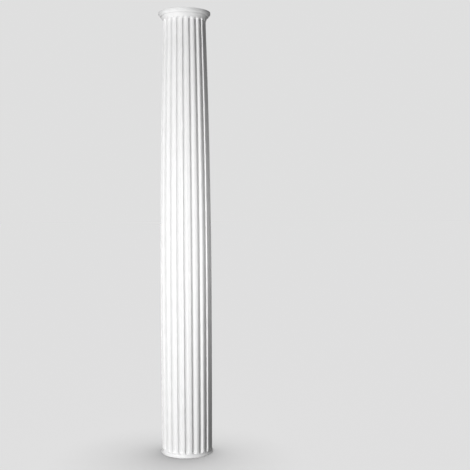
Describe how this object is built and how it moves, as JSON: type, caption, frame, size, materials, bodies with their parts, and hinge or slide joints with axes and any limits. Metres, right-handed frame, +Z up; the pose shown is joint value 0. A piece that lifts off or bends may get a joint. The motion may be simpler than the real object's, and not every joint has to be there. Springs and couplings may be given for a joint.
{
  "type": "fluted column shaft",
  "caption": "Round fluted column shaft with a slight swell, rounded flute ends, a flared neck with a short sloping member under a plain round band, and a small flared foot.",
  "frame": {"origin": "centre of the round underside, on the floor", "axes": "+Z up along the column's axis; -Y is the front, and the middle of a flute faces it; +X to the right seen from the front"},
  "size_m": [0.2856, 0.2856, 2.4],
  "materials": {
    "primed_foam": "white primer on moulded rigid polyurethane foam, smooth and softly satin"
  },
  "bodies": {
    "root": {"column_shaft": "primed_foam"}
  },
  "joints": []
}
